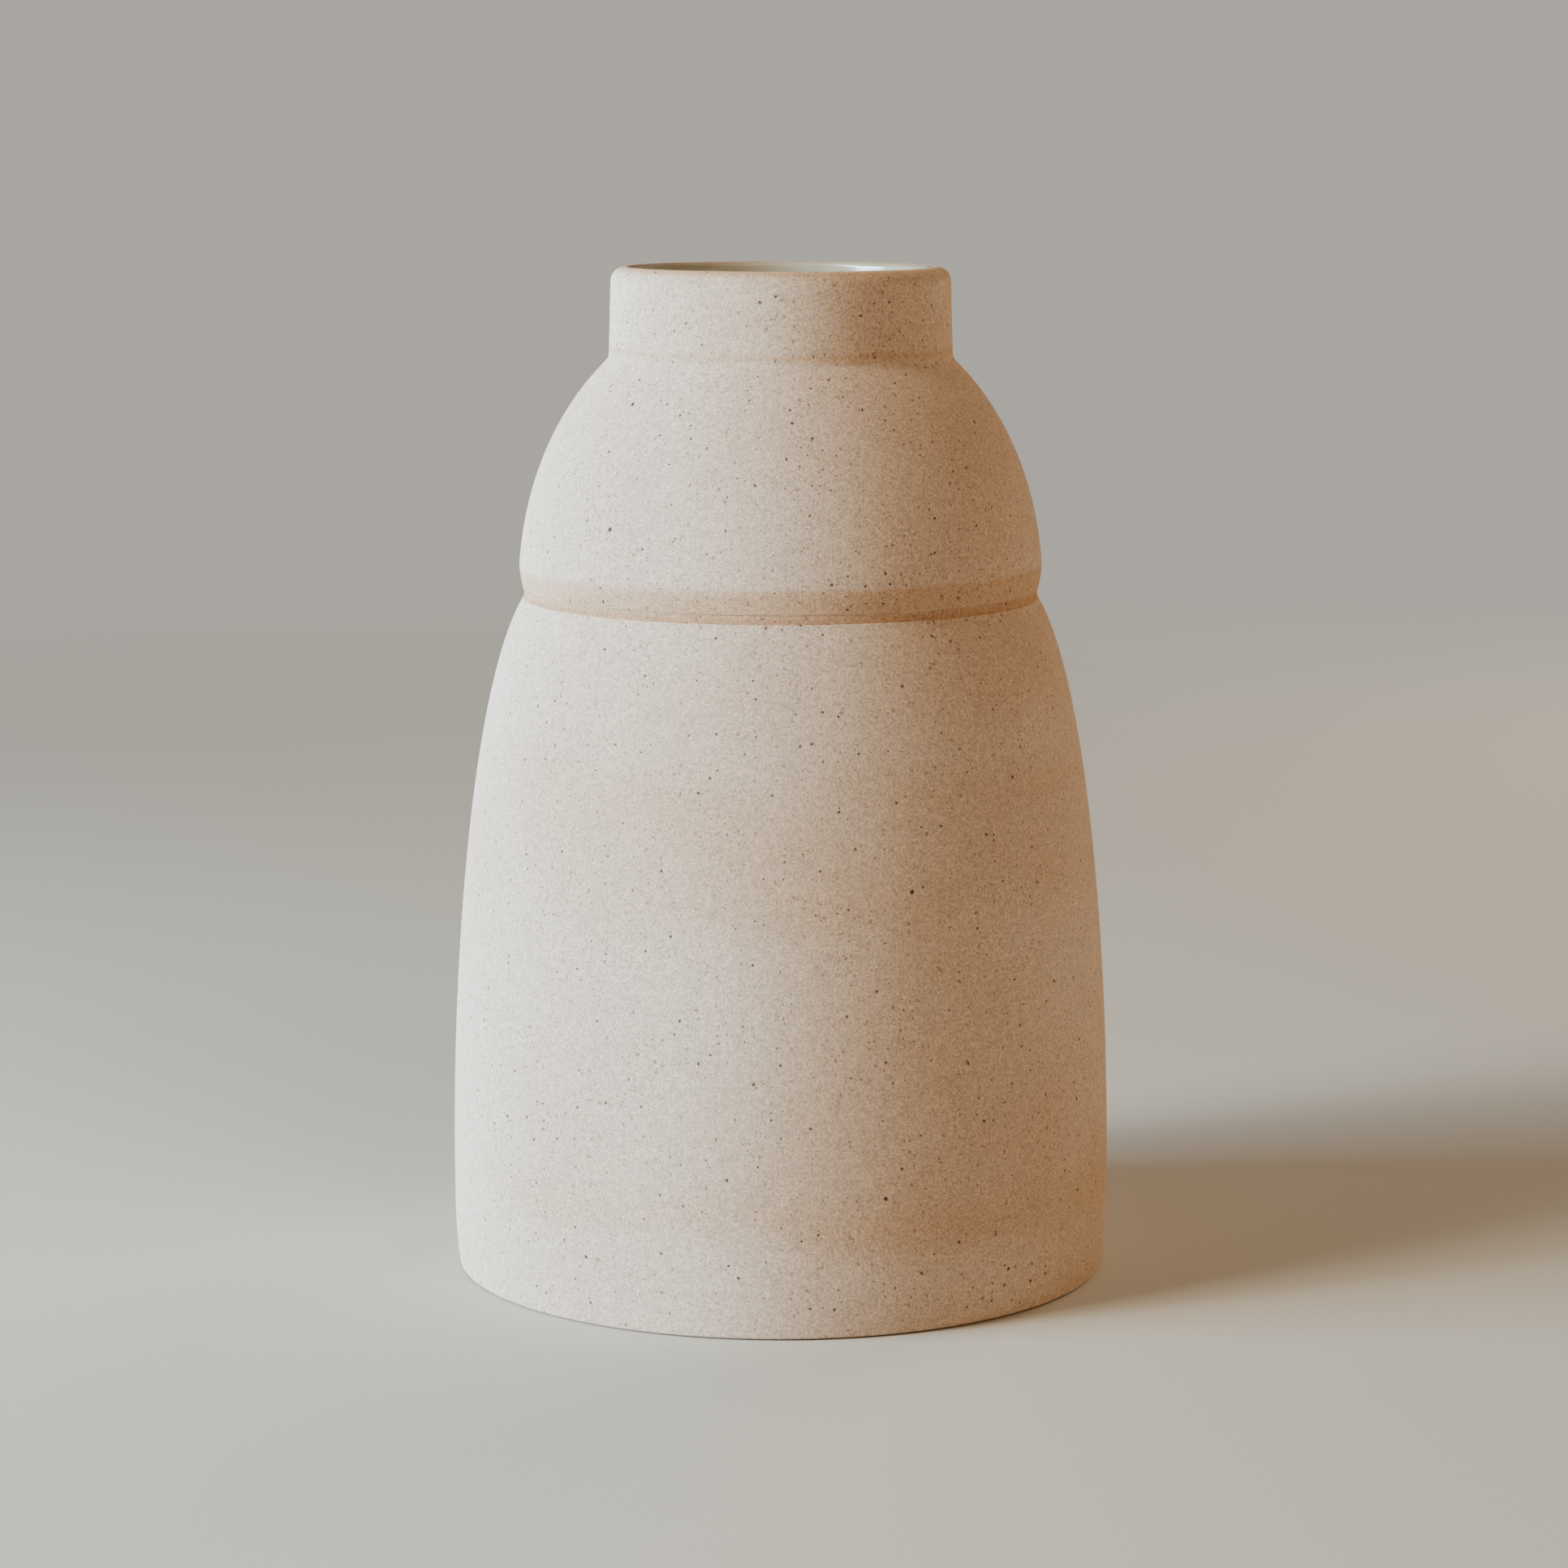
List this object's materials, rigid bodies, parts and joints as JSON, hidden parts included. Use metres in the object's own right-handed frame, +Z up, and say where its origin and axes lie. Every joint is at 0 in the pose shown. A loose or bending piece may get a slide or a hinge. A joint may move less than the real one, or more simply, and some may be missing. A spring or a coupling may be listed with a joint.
{
  "type": "stoneware vase",
  "caption": "Hand-thrown stoneware vase with a wide tapering body, a waist groove, a domed shoulder and a short upright collar; bare clay outside, glazed inside.",
  "frame": {"origin": "centre of the foot, on the surface that the vase stands on", "axes": "+Z up along the axis that the vase was thrown on; the vase is round, so +X and +Y are free"},
  "size_m": [0.1648, 0.1648, 0.25],
  "materials": {
    "raw_clay": "bare fired stoneware, matte and fine-grained, pale grey-beige with dark iron specks",
    "joint_slip": "bare fired slip, matte, warmer tan than the body",
    "liner_glaze": "glossy cream-white glaze"
  },
  "bodies": {
    "root": {"lower_body": "raw_clay", "waist_slip": "joint_slip", "shoulder_dome": "raw_clay", "neck_slip": "joint_slip", "neck_collar": "raw_clay", "liner_glaze": "liner_glaze"}
  },
  "joints": []
}
